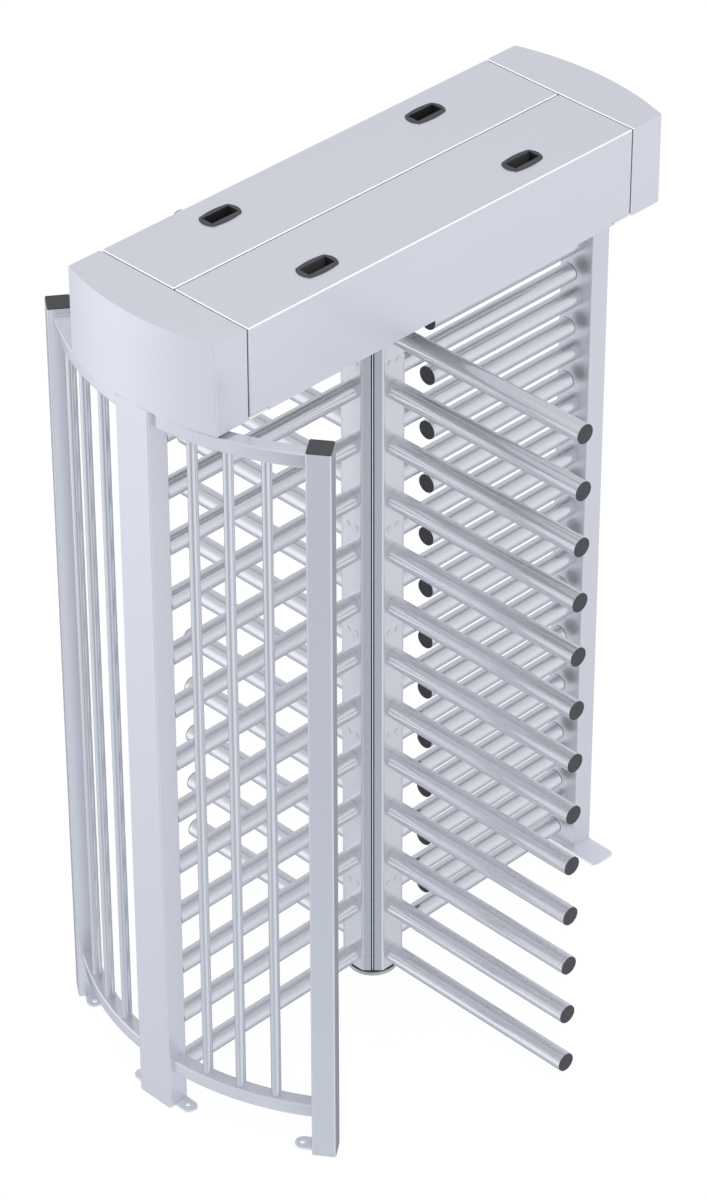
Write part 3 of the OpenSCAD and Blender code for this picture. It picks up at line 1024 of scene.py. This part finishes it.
class TURNSTILE_OT_column(bpy.types.Operator):
    """Builds the rotor's column: slotted corner profiles, flat plates, fins, base and screws"""

    bl_idname = "turnstile.column"
    bl_label = "Rotor column"

    # Distances from the axis to the flat and the slotted faces, the radius between them, and
    # the half width of a flat plate
    flat, slant, corner_radius, edge = 0.072, 0.0755, 0.009, 0.031045
    slot_half = 0.00425

    def execute(self, context):
        z0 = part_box("rotor_base")[0].z + 0.008
        z1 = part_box("rotor_profiles")[1].z + 0.004
        self.corners(z0, z1)
        self.plates(z0, z1)
        self.fins(z0, z1)
        self.base()
        self.screws()
        return {"FINISHED"}

    def four(self, name, obj):
        return joined(name, [obj] + [turned(copied(obj), a) for a in (90, 180, 270)])

    def corners(self, z0, z1):
        diagonal = Vector((1, 1, 0)).normalized()
        across = Vector((1, -1, 0)).normalized()
        obj = block("corner", (self.edge, self.edge, z0), (self.flat, self.flat, z1))
        sliced(obj, diagonal * self.slant, diagonal, use_fill=True, clear_outer=True)
        bevel(obj, self.corner_radius * math.tan(math.radians(22.5)), 6,
              lambda e: runs_along(e, 2) and 0.5 < e.calc_face_angle(0) < 1.0)
        for s in (-1, 1):
            sliced(obj, across * s * self.slot_half, across)
        choose(obj, faces=lambda f: f.normal.dot(diagonal) > 0.999
               and abs(f.calc_center_median().dot(across)) < 0.004)
        inward = -diagonal * 0.012
        bpy.ops.mesh.extrude_region_move(TRANSFORM_OT_translate={"value": inward})
        done()

        def slot_in_shade(f):
            deep = f.center.dot(diagonal) < self.slant - 0.001
            return deep and abs(f.center.dot(across)) < self.slot_half + 0.00015

        # Painted shade: the slanted faces take a darker copy of the column steel and the slot's deep
        # faces near-black.
        coated(obj, column_steel(), (lambda f: f.normal.dot(diagonal) > 0.999, chamfer_shade_steel()),
               (slot_in_shade, shade_black()))
        obj = self.four("corner_profiles", obj)
        finish_piece(obj, ROTOR, None, "rotor_steel", "rotor_profiles", "rotor_base", "rotor_top")

    def plates(self, z0, z1):
        half = self.edge - 0.0005
        obj = block("plate", (self.flat - SHEET, -half, z0), (self.flat, half, z1))
        obj = self.four("column_plates", obj)
        finish_piece(obj, ROTOR, plate_steel(), "rotor_steel", "rotor_boxes")

    def fins(self, z0, z1):
        obj = block("fin", (self.slant - 0.012, -0.0012, z0), (self.slant - 0.0015, 0.0012, z1))
        turned(obj, 45)
        finish_piece(self.four("column_fins", obj), ROTOR, fin_steel(), "rotor_steel", "rotor_fins")

    def base(self):
        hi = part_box("floor_bearing")[1]
        thick, pin_radius = 0.010, 0.015
        disc = rod("disc", (0, 0, 0), (0, 0, thick), hi.x, 96)
        bevel(disc, 0.001, 2, lambda e: sharp(e) and e.verts[0].co.z > thick / 2)
        pin = rod("pin", (0, 0, thick), (0, 0, hi.z), pin_radius, 48)
        obj = joined("floor_disc", [disc, pin])
        finish_piece(obj, HOUSING, foot_steel(), "plain_steel", "floor_bearing")

    def screws(self):
        """Two heads side by side, halfway between two arms, at five heights of each flat plate."""
        lowest_arm, pitch = 0.066, 0.156
        heads = []
        for k in (1.5, 4.5, 6.5, 8.5, 11.5):
            for s in (-1, 1):
                z = lowest_arm + k * pitch
                y = s * 0.0145
                head = rod("head", (self.flat, y, z), (self.flat + 0.002, y, z), 0.0085, 32)
                bevel(head, 0.0009, 2, lambda e: sharp(e) and e.verts[0].co.x > self.flat + 0.001)
                heads.append(head)
        obj = joined("screws", heads)
        finish_piece(self.four("plate_screws", obj), ROTOR, tube_steel("screw_steel", EVEN),
                     "rotor_steel", "rotor_screws")


class TURNSTILE_OT_inner(bpy.types.Operator):
    """Gives the construction parts that stay in view their finish"""

    bl_idname = "turnstile.inner"
    bl_label = "Inner parts"

    def execute(self, context):
        # The canopy's pan takes the darker plain steel as painted shade on the canopy's underside.
        for node in ("canopy_pan", "top_bearing", "rotor_core"):
            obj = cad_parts[node]
            obj.data.materials.clear()
            obj.data.materials.append(foot_steel())
        return {"FINISHED"}


class TURNSTILE_PT_panel(bpy.types.Panel):
    """Lists the turnstile's pieces"""

    bl_label = "Turnstile"
    bl_idname = "TURNSTILE_PT_panel"
    bl_space_type = "VIEW_3D"
    bl_region_type = "UI"
    bl_category = "Turnstile"

    def draw(self, context):
        column = self.layout.column()
        for settings in (steel(), shape()):
            for name in settings.bl_rna.properties.keys():
                if name not in ("rna_type", "name"):
                    column.prop(settings, name)
        for step in STEPS:
            column.operator(step.bl_idname)


STEPS = (
    TURNSTILE_OT_stage,
    TURNSTILE_OT_posts,
    TURNSTILE_OT_bands,
    TURNSTILE_OT_bars,
    TURNSTILE_OT_tabs,
    TURNSTILE_OT_comb,
    TURNSTILE_OT_arms,
    TURNSTILE_OT_column,
    TURNSTILE_OT_canopy,
    TURNSTILE_OT_handles,
    TURNSTILE_OT_inner,
)
CLASSES = (SteelSettings, ShapeSettings, *STEPS, TURNSTILE_PT_panel)


def register():
    for cls in CLASSES:
        bpy.utils.register_class(cls)
    bpy.types.Scene.turnstile_steel = PointerProperty(type=SteelSettings)
    bpy.types.Scene.turnstile_shape = PointerProperty(type=ShapeSettings)


def unregister():
    del bpy.types.Scene.turnstile_shape
    del bpy.types.Scene.turnstile_steel
    for cls in reversed(CLASSES):
        bpy.utils.unregister_class(cls)


def main():
    register()
    for step in STEPS:
        group, name = step.bl_idname.split(".")
        getattr(getattr(bpy.ops, group), name)()
    clear()


if __name__ == "__main__":
    main()
